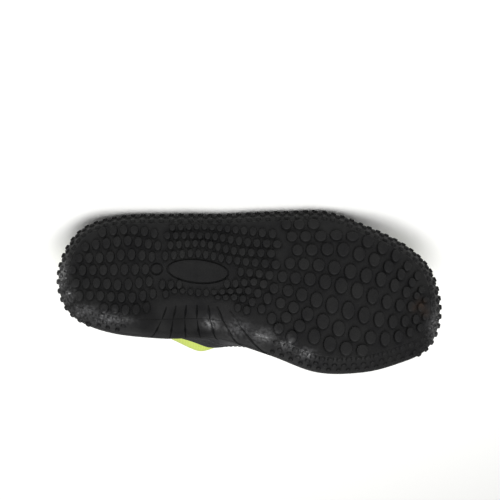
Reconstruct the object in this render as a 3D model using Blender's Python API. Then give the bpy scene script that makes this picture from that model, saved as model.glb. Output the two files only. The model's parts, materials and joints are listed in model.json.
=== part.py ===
"""Right water shoe, lying on its outer side. Metres, +Z up, origin under the middle of its box."""

import math
from collections import namedtuple

import bmesh
import bpy
from mathutils import Matrix, Vector

MM = 0.001

# The shoe is modelled standing, x from heel to toe, y to the inner (medial) side, z up,
# and is laid on its outer side at the end.

# Overall sizes of the sole
SOLE_LENGTH = 272 * MM
BALL_WIDTH = 110 * MM
SIDE_HEIGHT = 18 * MM
EDGE_BAND = 9 * MM
FLOOR_THICKNESS = 6 * MM
LIP_THICKNESS = 3 * MM
WALL_TAPER = 2.5 * MM
TOE_SPRING = 12 * MM
HEEL_RISE = 2.5 * MM
WAIST_RISE = 1.2 * MM
ARCH_RISE = 5 * MM

# Tread lugs, in rows along the shoe
LUG_HEIGHT = 2.6 * MM
LUG_PITCH = 10.8 * MM
LUG_ROOT = 0.8 * MM
LUG_DRAFT = 0.88
LUG_ALONG_SHARE = 0.80
LUG_ACROSS_SHARE = 0.88
LUG_OVERHANG = 1.0 * MM
LUG_LEAST = 1.3 * MM
LUG_ASPECT = 1.45

# Small nubs round the side of the sole
NUB_HEIGHT = 1.3 * MM
NUB_WIDTH = 4.6 * MM
NUB_PITCH = 7 * MM
NUB_ROOT = 0.9 * MM
NUB_SIDES = 4
NUB_DRAFT = 0.7

# Oval and round plates in the tread, each marked off by a groove
OVAL_LENGTH = 41.4 * MM
OVAL_WIDTH = 15.4 * MM
OVAL_ALONG = 0.362
OVAL_ACROSS = -0.033
DISC_WIDTH = 6.6 * MM
DISC_ALONG = 0.257
DISC_ACROSS = -0.024
PLATE_GROOVE = 0.9 * MM
PLATE_MARGIN = 0.3 * MM
OVAL_SIDES = 22
DISC_SIDES = 8

# Grooves between the ribs of the inner waist
RIB_GROOVE_WIDTH = 2.2 * MM
RIB_GROOVE_DEPTH = 1.1 * MM
RIB_GROOVE_REACH = 0.7

# Upper, its collar and what is fixed to it
UPPER_WALL = 2.2 * MM
COLLAR_HEIGHT = 77 * MM
COLLAR_LENGTH = 112 * MM
COLLAR_WIDTH = 54 * MM
COLLAR_HEEL_SETBACK = 13 * MM
COLLAR_LEAD = 0.66
BINDING_HEIGHT = 7 * MM
BINDING_THICKNESS = 1.0 * MM
OVERLAY_THICKNESS = 0.9 * MM
OVERLAY_LIFT = 0.4 * MM
INSOLE_THICKNESS = 3 * MM
GAP = 0.3 * MM

# Smoothness: ribs right round the shoe, and bands up a rib
RIBS = 44
OVERLAY_BANDS = 2
WALL_BANDS = 4

# Weights for finding how the shoe lies
RUBBER_DENSITY = 1150
TEXTILE_DENSITY = 260
FOAM_DENSITY = 130

# Widest line of the sole: place along its length, and half widths as shares of the ball width.
Outline = namedtuple("Outline", "along inner outer")
OUTLINE = (
    Outline(0.050, 0.290, 0.276),
    Outline(0.140, 0.374, 0.373),
    Outline(0.280, 0.389, 0.415),
    Outline(0.420, 0.366, 0.447),
    Outline(0.560, 0.442, 0.488),
    Outline(0.680, 0.526, 0.513),
    Outline(0.800, 0.502, 0.437),
    Outline(0.900, 0.412, 0.346),
    Outline(0.965, 0.313, 0.222),
)
HEEL_CENTRE = 0.020
TOE_CENTRE = 0.065

# Side of the sole from the tread's edge to the lip: shares of the edge band and of the side height.
Side = namedtuple("Side", "inset height")
SIDE_PROFILE = (
    Side(1.00, 0.00),
    Side(0.97, 0.05),
    Side(0.48, 0.27),
    Side(0.08, 0.58),
    Side(0.00, 0.80),
    Side(0.05, 0.95),
    Side(0.13, 1.00),
)

# Side height along the shoe, as a share of SIDE_HEIGHT.
SideLevel = namedtuple("SideLevel", "along height")
SIDE_LEVELS = (
    SideLevel(0.00, 1.15),
    SideLevel(0.20, 1.08),
    SideLevel(0.45, 1.05),
    SideLevel(0.70, 0.95),
    SideLevel(1.00, 1.15),
)

# Lug pitch along the shoe, as a share of LUG_PITCH.
Pitch = namedtuple("Pitch", "along share")
LUG_PITCHES = (
    Pitch(0.00, 0.64),
    Pitch(0.20, 0.67),
    Pitch(0.31, 0.58),
    Pitch(0.44, 0.60),
    Pitch(0.52, 0.72),
    Pitch(0.60, 0.92),
    Pitch(0.72, 1.04),
    Pitch(0.82, 0.92),
    Pitch(0.90, 0.68),
    Pitch(1.00, 0.42),
)

# Zones of the tread and the rows of lugs in each: places along the sole, and across the panel as
# shares from its outer to its inner edge.
Zone = namedtuple("Zone", "start end sides rows")
HEEL_ROWS = (
    ((0.11, 0.069), (0.16, 0.074), (0.22, 0.102), (0.27, 0.138)),
    ((0.06, 0.200), (0.12, 0.212), (0.18, 0.196), (0.23, 0.229), (0.27, 0.252)),
    ((0.03, 0.330), (0.10, 0.381), (0.18, 0.343), (0.27, 0.368)),
    ((0.03, 0.560), (0.11, 0.527), (0.18, 0.503), (0.27, 0.490)),
    ((0.04, 0.790), (0.10, 0.690), (0.17, 0.669), (0.27, 0.605)),
    ((0.06, 0.930), (0.10, 0.845), (0.17, 0.801), (0.21, 0.785), (0.26, 0.735)),
    ((0.10, 0.970), (0.15, 0.932), (0.21, 0.911), (0.25, 0.873)),
)
WAIST_ROWS = (
    ((0.27, 0.062), (0.37, 0.051), (0.45, 0.084), (0.57, 0.118)),
    ((0.27, 0.143), (0.40, 0.152), (0.47, 0.200), (0.57, 0.212)),
    ((0.27, 0.243), (0.37, 0.225), (0.45, 0.291), (0.57, 0.296)),
    ((0.27, 0.350), (0.35, 0.324), (0.44, 0.380), (0.57, 0.389)),
    ((0.28, 0.490), (0.46, 0.489), (0.57, 0.486)),
    ((0.27, 0.640), (0.30, 0.640), (0.46, 0.606), (0.51, 0.580), (0.57, 0.594)),
    ((0.26, 0.775), (0.30, 0.711), (0.38, 0.725), (0.43, 0.700), (0.51, 0.680), (0.57, 0.705)),
    ((0.42, 0.790), (0.47, 0.775), (0.51, 0.785), (0.57, 0.850)),
)
BALL_ROWS = (
    ((0.58, 0.045), (0.66, 0.040), (0.74, 0.006)),
    ((0.58, 0.143), (0.67, 0.129), (0.75, 0.068), (0.80, 0.060), (0.87, 0.092), (0.93, 0.170)),
    ((0.58, 0.255), (0.65, 0.241), (0.74, 0.190), (0.81, 0.196), (0.89, 0.262), (0.94, 0.320)),
    ((0.58, 0.365), (0.67, 0.349), (0.80, 0.347), (0.84, 0.355), (0.90, 0.425), (0.95, 0.425)),
    ((0.58, 0.482), (0.66, 0.463), (0.80, 0.500), (0.88, 0.575), (0.95, 0.570)),
    ((0.58, 0.586), (0.67, 0.608), (0.80, 0.679), (0.88, 0.745), (0.95, 0.725)),
    ((0.58, 0.700), (0.65, 0.728), (0.80, 0.850), (0.87, 0.895), (0.94, 0.860)),
    ((0.58, 0.797), (0.67, 0.876), (0.74, 0.930), (0.82, 0.962)),
    ((0.58, 0.905), (0.62, 0.940)),
)
LUG_ZONES = (
    Zone(0.036, 0.272, 5, HEEL_ROWS),
    Zone(0.280, 0.565, 5, WAIST_ROWS),
    Zone(0.582, 0.965, 6, BALL_ROWS),
)

# Seats of the nubs: shares of the edge band and of the side height, and tilt from level in degrees.
# The inner side has its own between the heel and the toe, and none on the waist.
NubSeat = namedtuple("NubSeat", "inset height tilt")
NUB_SEAT = NubSeat(0.05, 0.60, 15)
INNER_NUB_SEAT = NubSeat(0.72, 0.165, 45)
INNER_NUBS_START = 0.055
INNER_NUBS_END = 0.93
NUBS_STOP = 0.19
NUBS_START = 0.56

# The smooth arch of the inner waist, which the lugs leave free: middle and half length along the sole.
ARCH_MIDDLE = 0.368
ARCH_REACH = 0.150
ARCH_DEPTH = 0.19
CREASE_SHARE = 0.97

# Rib grooves of the arch: where each starts at the tread and ends at the lip, along the sole.
RibGroove = namedtuple("RibGroove", "start end")
RIB_GROOVES = (
    RibGroove(0.293, 0.250),
    RibGroove(0.318, 0.301),
    RibGroove(0.344, 0.345),
    RibGroove(0.370, 0.384),
    RibGroove(0.396, 0.428),
    RibGroove(0.416, 0.492),
    RibGroove(0.447, 0.565),
)

# The upper's ribs, by their place from heel (0) to toe (1). Each is a curve from the sole's lip to the
# collar. collar: collar height; lean: how far the rib leans in at the collar; rise and reach: how far it
# keeps its direction at the lip and at the collar; belly: how far it leans out at the lip.
UpperRib = namedtuple("UpperRib", "at collar lean rise reach belly_inner belly_outer")
UPPER_RIBS = (
    UpperRib(0.00, 1.00, 0.30, 0.42, 0.34, 0.10, 0.10),
    UpperRib(0.15, 0.94, 0.26, 0.42, 0.34, 0.10, 0.06),
    UpperRib(0.34, 0.82, 0.26, 0.48, 0.34, 0.02, 0.02),
    UpperRib(0.43, 0.84, 0.30, 0.55, 0.34, 1.15, 0.05),
    UpperRib(0.53, 0.90, 0.42, 0.50, 0.33, 0.05, 0.05),
    UpperRib(0.66, 1.00, 0.60, 0.44, 0.32, 0.05, 0.05),
    UpperRib(0.80, 1.07, 0.72, 0.40, 0.30, 0.05, 0.05),
    UpperRib(1.00, 1.09, 0.74, 0.34, 0.30, 0.05, 0.05),
)

# Top edge of the black overlay, as a share of each rib, on the inner and outer side.
OverlayEdge = namedtuple("OverlayEdge", "at inner outer")
OVERLAY_EDGE = (
    OverlayEdge(0.00, 0.50, 0.50),
    OverlayEdge(0.18, 0.42, 0.42),
    OverlayEdge(0.34, 0.05, 0.10),
    OverlayEdge(0.44, 0.09, 0.12),
    OverlayEdge(0.58, 0.34, 0.30),
    OverlayEdge(0.78, 0.26, 0.26),
    OverlayEdge(1.00, 0.30, 0.30),
)


class SmoothCurve:
    """A smooth line through (place, value) rows, level at its ends or closed after a period."""

    def __init__(self, rows, period=None):
        self.period = period
        if period:
            rows = [(rows[-1][0] - period, rows[-1][1]), *rows]
            rows += [(rows[1][0] + period, rows[1][1]), (rows[2][0] + period, rows[2][1])]
        self.places = [row[0] for row in rows]
        self.values = [row[1] for row in rows]
        self.slopes = [self.slope(i) for i in range(len(rows))]

    def slope(self, i):
        if i in (0, len(self.places) - 1):
            return 0.0
        before = self.places[i] - self.places[i - 1]
        after = self.places[i + 1] - self.places[i]
        rise_before = (self.values[i] - self.values[i - 1]) / before
        rise_after = (self.values[i + 1] - self.values[i]) / after
        return (rise_before * after + rise_after * before) / (before + after)

    def __call__(self, place):
        if self.period:
            place %= self.period
        last = len(self.places) - 2
        i = max(k for k in range(last + 1) if k == 0 or self.places[k] <= place)
        width = self.places[i + 1] - self.places[i]
        t = min(max((place - self.places[i]) / width, 0.0), 1.0)
        return (
            (1 + 2 * t) * (1 - t) ** 2 * self.values[i]
            + t * (1 - t) ** 2 * width * self.slopes[i]
            + t * t * (3 - 2 * t) * self.values[i + 1]
            + t * t * (t - 1) * width * self.slopes[i + 1]
        )


def clear_scene():
    for obj in list(bpy.data.objects):
        bpy.data.objects.remove(obj)


# Outline of the sole. Every place round it is an angle: 0 at the heel, a quarter turn at the inner
# waist, half a turn at the toe, and back along the outer side.


def angle_at(along):
    """Angle on the inner side at a share of the sole's length."""
    return math.acos(1 - 2 * along)


def outline_curve():
    rows = [(0.0, HEEL_CENTRE)]
    rows += [(angle_at(row.along), row.inner) for row in OUTLINE]
    rows += [(math.pi, TOE_CENTRE)]
    rows += [(2 * math.pi - angle_at(row.along), -row.outer) for row in reversed(OUTLINE)]
    return SmoothCurve(rows, 2 * math.pi)


ACROSS = outline_curve()
SIDE_LEVEL = SmoothCurve(SIDE_LEVELS)
LUG_PITCH_AT = SmoothCurve(LUG_PITCHES)


def outline(angle):
    return Vector((SOLE_LENGTH * (1 - math.cos(angle)) / 2, BALL_WIDTH * ACROSS(angle)))


def inward(angle):
    """Direction into the shoe, square to the outline."""
    step = 0.01
    tangent = (outline(angle + step) - outline(angle - step)).normalized()
    return Vector((tangent.y, -tangent.x))


def inset_outline(angle, inset):
    return outline(angle) + inward(angle) * inset


def bump(along):
    """1 in the middle of the arch, 0 at its ends."""
    share = (along - ARCH_MIDDLE) / ARCH_REACH
    return (1 - share**4) ** 2 if abs(share) < 1 else 0.0


# Levels of the sole


def arch_rise(angle, along):
    """How far the inner edge is raised over the tread."""
    return ARCH_RISE * bump(along) if math.sin(angle) > 0 else 0.0


def tread_level(along):
    """Height of the surface that the lugs stand on."""
    heel = max(0.0, (0.10 - along) / 0.10) ** 2 * HEEL_RISE
    toe = max(0.0, (along - 0.70) / 0.30) ** 2 * TOE_SPRING
    waist = math.sin((along - 0.30) / 0.22 * math.pi) ** 2 * WAIST_RISE if 0.30 < along < 0.52 else 0.0
    return LUG_HEIGHT + heel + toe + waist


def side_point(angle, inset, height):
    """A point of the sole's side: inset from the widest line, height as a share of the side."""
    plan = inset_outline(angle, inset)
    along = plan.x / SOLE_LENGTH
    arch = arch_rise(angle, along)
    side = SIDE_HEIGHT * SIDE_LEVEL(along) - arch
    return Vector((plan.x, plan.y, tread_level(along) + arch + side * height))


def lip_inset():
    """Inset of the lip's inner edge."""
    return SIDE_PROFILE[-1].inset * EDGE_BAND + LIP_THICKNESS


def floor_point(angle, inset, lift):
    """A point over the sole's inner floor."""
    plan = inset_outline(angle, inset)
    along = plan.x / SOLE_LENGTH
    level = tread_level(along) + arch_rise(angle, along) + FLOOR_THICKNESS
    return Vector((plan.x, plan.y, level + lift))


def rib_angles():
    return [2 * math.pi * k / RIBS for k in range(RIBS)]


# Mesh helpers


def add_ring(mesh, points):
    return [mesh.verts.new(point) for point in points]


def join_rings(mesh, first, second):
    """Quads between two closed rings of the same length."""
    count = len(first)
    for k in range(count):
        following = (k + 1) % count
        mesh.faces.new((first[k], first[following], second[following], second[k]))


def join_walls(mesh, first, second):
    """Triangles between two closed rings, split the same way on every wall so that gaps stay even."""
    low, high = (first, second) if first[0].co.z < second[0].co.z else (second, first)
    count = len(low)
    for k in range(count):
        following = (k + 1) % count
        mesh.faces.new((low[k], low[following], high[following]))
        mesh.faces.new((low[k], high[following], high[k]))


def cap_ring(mesh, ring, middles=None):
    """Closes a ring with strips across it; middles are verts between each pair, by rib."""
    half = len(ring) // 2
    for k in range(half):
        inner = (ring[k], ring[k + 1])
        outer = (ring[-k] if k else ring[0], ring[-k - 1])
        rows = [inner, outer]
        if middles:
            rows.insert(1, (middles[k] or ring[0], middles[k + 1] or ring[half]))
        for near, far in zip(rows, rows[1:]):
            face = list(dict.fromkeys((near[0], near[1], far[1], far[0])))
            if len(face) > 2:
                mesh.faces.new(face)


def finish_mesh(name, mesh, hidden=False):
    """Makes an object of the mesh, with its faces pointing out."""
    bmesh.ops.recalc_face_normals(mesh, faces=mesh.faces)
    data = bpy.data.meshes.new(name)
    mesh.to_mesh(data)
    mesh.free()
    obj = bpy.data.objects.new(name, data)
    bpy.context.scene.collection.objects.link(obj)
    if hidden:
        obj.hide_render = True
        obj.display_type = "WIRE"
    return obj


def add_stud(mesh, base, normal, along_axis, half_along, half_across, root, height, draft, sides):
    """A tapered stud with an oval foot, standing on base along normal."""
    across_axis = normal.cross(along_axis).normalized()
    rings = []
    for lift, scale in ((-root, 1 + (1 - draft) * root / height), (height, draft)):
        centre = base + normal * lift
        turns = [2 * math.pi * (k + 0.5) / sides for k in range(sides)]
        rings.append(
            add_ring(
                mesh,
                [
                    centre
                    + along_axis * (math.cos(turn) * half_along * scale)
                    + across_axis * (math.sin(turn) * half_across * scale)
                    for turn in turns
                ],
            )
        )
    join_rings(mesh, rings[0], rings[1])
    for ring in rings:
        mesh.faces.new(ring)


# Sole


def sole_body():
    """The moulded cup: tread surface, bevelled side, lip, inner wall and floor."""
    mesh = bmesh.new()
    angles = rib_angles()
    rings = [
        add_ring(mesh, [side_point(a, row.inset * EDGE_BAND, row.height) for a in angles])
        for row in SIDE_PROFILE
    ]
    rings.append(add_ring(mesh, [side_point(a, lip_inset(), 1.0) for a in angles]))
    rings.append(add_ring(mesh, [floor_point(a, lip_inset() + WALL_TAPER, 0.0) for a in angles]))
    for first, second in zip(rings, rings[1:]):
        join_walls(mesh, first, second)
    cap_ring(mesh, rings[0], tread_edge_verts(mesh))
    cap_ring(mesh, rings[-1])
    return finish_mesh("outsole", mesh)


def tread_share(along):
    """How far over the panel the lugs reach, from the outer edge (0) to the inner edge (1)."""
    return 1 - ARCH_DEPTH * bump(along)


def tread_edge_point(angle):
    """Where the flat tread meets the rising arch, across the shoe from the inner side at this angle."""
    inner = side_point(angle, EDGE_BAND, 0.0)
    outer = side_point(2 * math.pi - angle, EDGE_BAND, 0.0)
    point = outer.lerp(inner, CREASE_SHARE * tread_share((inner.x + outer.x) / 2 / SOLE_LENGTH))
    point.z = tread_level(point.x / SOLE_LENGTH)
    return point


def tread_edge_verts(mesh):
    """Verts where the tread meets the arch, one for each rib but the two end ones."""
    half = RIBS // 2
    angles = rib_angles()
    return [None, *[mesh.verts.new(tread_edge_point(angles[k])) for k in range(1, half)], None]


def panel_sides(along):
    """Outer and inner edge of the tread panel at a share of the length, or None past its ends."""
    place = along * SOLE_LENGTH
    edges = []
    for first, last in ((2 * math.pi, math.pi), (0.0, math.pi)):
        low, high = first, last
        if inset_outline(low, EDGE_BAND).x > place or inset_outline(high, EDGE_BAND).x < place:
            return None
        for _ in range(24):
            middle = (low + high) / 2
            if inset_outline(middle, EDGE_BAND).x < place:
                low = middle
            else:
                high = middle
        edges.append(inset_outline(low, EDGE_BAND).y)
    return edges


def plate_distance(x, y, length, width, along, across):
    """Distance from a plate's middle, as a share of its edge."""
    shift_x = (x - along * SOLE_LENGTH) / (length / 2)
    shift_y = (y - across * BALL_WIDTH) / (width / 2)
    return math.hypot(shift_x, shift_y)


def lug_is_clear(x, y, half_along, half_across):
    """True if a lug lies on the panel, off the arch and off the two plates."""
    if half_across < LUG_LEAST:
        return False
    for place in (x - half_along / 2, x, x + half_along / 2):
        sides = panel_sides(place / SOLE_LENGTH)
        if sides is None:
            return False
        outer, inner = sides
        top = outer + (inner - outer) * tread_share(place / SOLE_LENGTH)
        reach = half_across - LUG_OVERHANG
        if not outer + reach < y < top - reach:
            return False
    grow = 2 * (half_along + PLATE_GROOVE + PLATE_MARGIN)
    beside = 2 * (half_across + PLATE_GROOVE + PLATE_MARGIN)
    oval = plate_distance(x, y, OVAL_LENGTH + grow, OVAL_WIDTH + beside, OVAL_ALONG, OVAL_ACROSS)
    disc = plate_distance(x, y, DISC_WIDTH + grow, DISC_WIDTH + grow, DISC_ALONG, DISC_ACROSS)
    return oval > 1 and disc > 1


def row_spacing(zone, lines, number, along):
    """Mean gap from a row of lugs to its neighbours, as a share of the panel, or None if it has none."""
    gaps = []
    for other in (number - 1, number + 1):
        if 0 <= other < len(lines) and zone.rows[other][0][0] <= along <= zone.rows[other][-1][0]:
            gaps.append(abs(lines[other](along) - lines[number](along)))
    return sum(gaps) / len(gaps) if gaps else None


def lug_places():
    """(x, y, half length, half width, sides) of every tread lug, row by row in each zone."""
    places = []
    for zone in LUG_ZONES:
        lines = [SmoothCurve(row) for row in zone.rows]
        for number, row in enumerate(zone.rows):
            along = zone.start + LUG_PITCH * LUG_PITCH_AT(zone.start) / SOLE_LENGTH / 2 * (number % 2)
            while along < zone.end:
                pitch = LUG_PITCH * LUG_PITCH_AT(along)
                sides = panel_sides(along)
                if sides and row[0][0] <= along <= row[-1][0]:
                    width = sides[1] - sides[0]
                    spacing = row_spacing(zone, lines, number, along)
                    spacing = pitch if spacing is None else spacing * width
                    half_along = pitch * LUG_ALONG_SHARE / 2
                    half_across = min(spacing * LUG_ACROSS_SHARE / 2, half_along * LUG_ASPECT)
                    x, y = along * SOLE_LENGTH, sides[0] + width * lines[number](along)
                    if lug_is_clear(x, y, half_along, half_across):
                        places.append((x, y, half_along, half_across, zone.sides))
                along += pitch / SOLE_LENGTH
    return places


def tread_frame(x, y):
    """Point on the tread surface, its outward normal and the direction along the shoe."""
    step = 0.004
    along = x / SOLE_LENGTH
    rise = (tread_level(along + step) - tread_level(along - step)) / (2 * step * SOLE_LENGTH)
    forward = Vector((1, 0, rise)).normalized()
    return Vector((x, y, tread_level(along))), Vector((0, 1, 0)).cross(forward), forward


def add_lugs(mesh):
    for x, y, half_along, half_across, sides in lug_places():
        base, up, forward = tread_frame(x, y)
        add_stud(mesh, base, up, forward, half_along, half_across, LUG_ROOT, LUG_HEIGHT, LUG_DRAFT, sides)


def nub_angles():
    """Angles of the nubs, evenly spaced round the side, none on the inner waist."""
    steps = 720
    angles = []
    travelled = NUB_PITCH
    for k in range(steps):
        angle = 2 * math.pi * k / steps
        following = 2 * math.pi * (k + 1) / steps
        travelled += (outline(following) - outline(angle)).length
        if travelled < NUB_PITCH:
            continue
        travelled -= NUB_PITCH
        along = (1 - math.cos(angle)) / 2
        if math.sin(angle) <= 0 or not NUBS_STOP < along < NUBS_START:
            angles.append(angle)
    return angles


def nub_seat(angle):
    along = (1 - math.cos(angle)) / 2
    inner = math.sin(angle) > 0 and INNER_NUBS_START < along < INNER_NUBS_END
    return INNER_NUB_SEAT if inner else NUB_SEAT


def add_nubs(mesh):
    for angle in nub_angles():
        seat = nub_seat(angle)
        tilt = math.radians(seat.tilt)
        centre = side_point(angle, seat.inset * EDGE_BAND, seat.height)
        into = inward(angle)
        outward = Vector((-into.x, -into.y, 0)) * math.cos(tilt)
        normal = outward + Vector((0, 0, -1)) * math.sin(tilt)
        tangent = Vector((-into.y, into.x, 0))
        half = NUB_WIDTH / 2
        add_stud(mesh, centre, normal, tangent, half, half, NUB_ROOT, NUB_HEIGHT, NUB_DRAFT, NUB_SIDES)


def studs():
    mesh = bmesh.new()
    add_lugs(mesh)
    add_nubs(mesh)
    return finish_mesh("studs", mesh, hidden=True)


def plate_groove(mesh, length, width, along, across, sides):
    """A ring that cuts the groove round a plate in the tread."""
    x0, y0 = along * SOLE_LENGTH, across * BALL_WIDTH
    rings = []
    for extra, low in ((0, -1), (PLATE_GROOVE, -1), (PLATE_GROOVE, 1), (0, 1)):
        points = []
        for k in range(sides):
            turn = 2 * math.pi * k / sides
            x = x0 + (length / 2 + extra) * math.cos(turn)
            y = y0 + (width / 2 + extra) * math.sin(turn)
            points.append(Vector((x, y, tread_level(x / SOLE_LENGTH) + low * PLATE_GROOVE)))
        rings.append(add_ring(mesh, points))
    for k in range(len(rings)):
        join_rings(mesh, rings[k], rings[(k + 1) % len(rings)])


def rib_groove_path(groove):
    """Points on the inner waist from the tread's edge to below the lip, along one groove."""
    rows = [SIDE_PROFILE[0], *SIDE_PROFILE[2:-1]]
    angles = [
        angle_at(groove.start + (groove.end - groove.start) * k / len(rows)) for k in range(len(rows) + 1)
    ]
    edge = side_point(angles[0], EDGE_BAND, 0.0)
    path = [edge.lerp(tread_edge_point(angles[0]), RIB_GROOVE_REACH)]
    path += [side_point(a, row.inset * EDGE_BAND, row.height) for a, row in zip(angles[1:], rows)]
    return path


def rib_groove(mesh, groove):
    """A wedge that cuts one groove of the arch."""
    path = rib_groove_path(groove)
    last = len(path) - 1
    rings = []
    for k, point in enumerate(path):
        forward = (path[min(k + 1, last)] - path[max(k - 1, 0)]).normalized()
        side = forward.cross(Vector((0, 1, -1))).normalized()
        outward = side.cross(forward).normalized()
        depth = RIB_GROOVE_DEPTH * (0.3 if k in (0, last) else 1.0)
        top = point + outward * RIB_GROOVE_DEPTH
        spread = side * RIB_GROOVE_WIDTH
        rings.append(add_ring(mesh, [point - outward * depth, top + spread, top - spread]))
    for first, second in zip(rings, rings[1:]):
        join_rings(mesh, first, second)
    mesh.faces.new(rings[0])
    mesh.faces.new(rings[-1])


def sole_cuts():
    mesh = bmesh.new()
    plate_groove(mesh, OVAL_LENGTH, OVAL_WIDTH, OVAL_ALONG, OVAL_ACROSS, OVAL_SIDES)
    plate_groove(mesh, DISC_WIDTH, DISC_WIDTH, DISC_ALONG, DISC_ACROSS, DISC_SIDES)
    for groove in RIB_GROOVES:
        rib_groove(mesh, groove)
    return finish_mesh("sole_cuts", mesh, hidden=True)


def apply_boolean(obj, other, operation):
    """Joins or cuts obj with other, keeps the result as its mesh and removes other."""
    modifier = obj.modifiers.new(operation.lower(), "BOOLEAN")
    modifier.operation = operation
    modifier.object = other
    modifier.use_self = True
    graph = bpy.context.evaluated_depsgraph_get()
    result = bpy.data.meshes.new_from_object(obj.evaluated_get(graph))
    obj.modifiers.clear()
    obj.data = result
    bpy.data.objects.remove(other)


def outsole():
    body = sole_body()
    apply_boolean(body, studs(), "UNION")
    apply_boolean(body, sole_cuts(), "DIFFERENCE")
    return body


# Upper


def upper_rib_curve(column):
    return SmoothCurve([(row.at, getattr(row, column)) for row in UPPER_RIBS])


RIB_CURVES = {name: upper_rib_curve(name) for name in UpperRib._fields[1:]}
OVERLAY_TOP = {
    side: SmoothCurve([(row.at, getattr(row, side)) for row in OVERLAY_EDGE]) for side in ("inner", "outer")
}


def rib_place(angle):
    """0 at the heel and 1 at the toe, on either side."""
    return (angle if angle <= math.pi else 2 * math.pi - angle) / math.pi


def collar_point(angle):
    """Where the rib at this angle ends, on the collar's edge."""
    turn = angle + COLLAR_LEAD * math.sin(angle)
    half = COLLAR_LENGTH / 2
    height = COLLAR_HEIGHT * RIB_CURVES["collar"](rib_place(angle))
    x = COLLAR_HEEL_SETBACK + half * (1 - math.cos(turn))
    return Vector((x, COLLAR_WIDTH / 2 * math.sin(turn), height))


def upper_foot(angle):
    """Foot of the upper, inside the sole's cup, with the usual gap to its wall and floor."""
    return floor_point(angle, lip_inset() + WALL_TAPER + GAP, GAP)


def upper_lip(angle):
    """Where the upper leaves the cup."""
    point = side_point(angle, lip_inset() + GAP, 1.0)
    return point + Vector((0, 0, OVERLAY_LIFT))


def rib_handles(angle):
    """The four control points of the upper's rib at this angle."""
    place = rib_place(angle)
    start, end = upper_lip(angle), collar_point(angle)
    shape = {name: curve(place) for name, curve in RIB_CURVES.items()}
    belly = shape["belly_inner"] if math.sin(angle) > 0 else shape["belly_outer"]
    into = inward(angle)
    rise = (end.z - start.z) * shape["rise"]
    low = start + Vector((-into.x * belly, -into.y * belly, 1)) * rise
    towards = Vector((end.x - start.x, end.y - start.y, 0)).normalized()
    lean = shape["lean"]
    direction = towards * lean + Vector((0, 0, math.sqrt(1 - lean * lean)))
    high = end - direction * ((end - start).length * shape["reach"])
    return start, low, high, end


def rib_point(angle, t):
    a, b, c, d = rib_handles(angle)
    s = 1 - t
    return a * s**3 + b * (3 * s * s * t) + c * (3 * s * t * t) + d * t**3


def binding_start(angle):
    """Place on the rib where the collar binding starts."""
    _, _, high, end = rib_handles(angle)
    return 1 - BINDING_HEIGHT / (3 * (end - high).length)


def rib_steps(angle):
    """Places up a rib: overlay, then wall, then binding."""
    side = "inner" if math.sin(angle) > 0 else "outer"
    top = OVERLAY_TOP[side](rib_place(angle))
    start = binding_start(angle)
    steps = [top * k / OVERLAY_BANDS for k in range(OVERLAY_BANDS)]
    steps += [top + (start - top) * k / WALL_BANDS for k in range(WALL_BANDS + 1)]
    return [*steps, 1.0]


def upper_grid():
    """Rows of points up the upper's outer face, from its foot to the collar, with their normals."""
    columns = []
    for angle in rib_angles():
        columns.append([upper_foot(angle), *[rib_point(angle, t) for t in rib_steps(angle)]])
    rows = [list(row) for row in zip(*columns)]
    return rows, [row_normals(rows, r) for r in range(len(rows))]


def row_normals(rows, r):
    """Outward normals at one row, level at the foot and at the sole's lip."""
    below, above = rows[max(r - 1, 0)], rows[min(r + 1, len(rows) - 1)]
    count = len(rows[r])
    normals = []
    for k in range(count):
        along = rows[r][(k + 1) % count] - rows[r][k - 1]
        normal = (above[k] - below[k]).cross(along)
        if r <= 1:
            normal.z = 0
        normals.append(normal.normalized())
    return normals


def offset_rows(rows, normals, distance):
    return [[p + n * distance for p, n in zip(row, ns)] for row, ns in zip(rows, normals)]


def shell(name, outer_rows, inner_rows):
    """A closed wall between two sets of rings, open at its foot and top."""
    mesh = bmesh.new()
    outer = [add_ring(mesh, row) for row in outer_rows]
    inner = [add_ring(mesh, row) for row in inner_rows]
    rings = [*outer, *reversed(inner)]
    for k in range(len(rings)):
        join_walls(mesh, rings[k], rings[(k + 1) % len(rings)])
    return finish_mesh(name, mesh)


def upper(rows, normals):
    return shell("upper", rows, offset_rows(rows, normals, -UPPER_WALL))


def overlay(rows, normals):
    """Black band over the upper's lower edge, higher as a toe cap and a heel counter."""
    first, last = 1, 1 + OVERLAY_BANDS
    band, outward = rows[first : last + 1], normals[first : last + 1]
    outer = offset_rows(band, outward, GAP + OVERLAY_THICKNESS)
    return shell("side_overlay", outer, offset_rows(band, outward, GAP))


def collar_binding(rows, normals):
    """Folded tape over the collar's edge."""
    band, outward = rows[-2:], normals[-2:]
    tape = GAP + BINDING_THICKNESS
    edge = [(top - low).normalized() for low, top in zip(*band)]
    outside = offset_rows(band, outward, tape)
    inside = offset_rows(band, outward, -UPPER_WALL - tape)
    face_out = offset_rows(band, outward, GAP)
    face_in = offset_rows(band, outward, -UPPER_WALL - GAP)

    def lifted(row, lift):
        return [p + e * lift for p, e in zip(row, edge)]

    loops = [
        outside[0],
        lifted(outside[1], tape),
        lifted(inside[1], tape),
        inside[0],
        face_in[0],
        lifted(face_in[1], GAP),
        lifted(face_out[1], GAP),
        face_out[0],
    ]
    mesh = bmesh.new()
    rings = [add_ring(mesh, loop) for loop in loops]
    for k in range(len(rings)):
        join_walls(mesh, rings[k], rings[(k + 1) % len(rings)])
    return finish_mesh("collar_binding", mesh)


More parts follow.
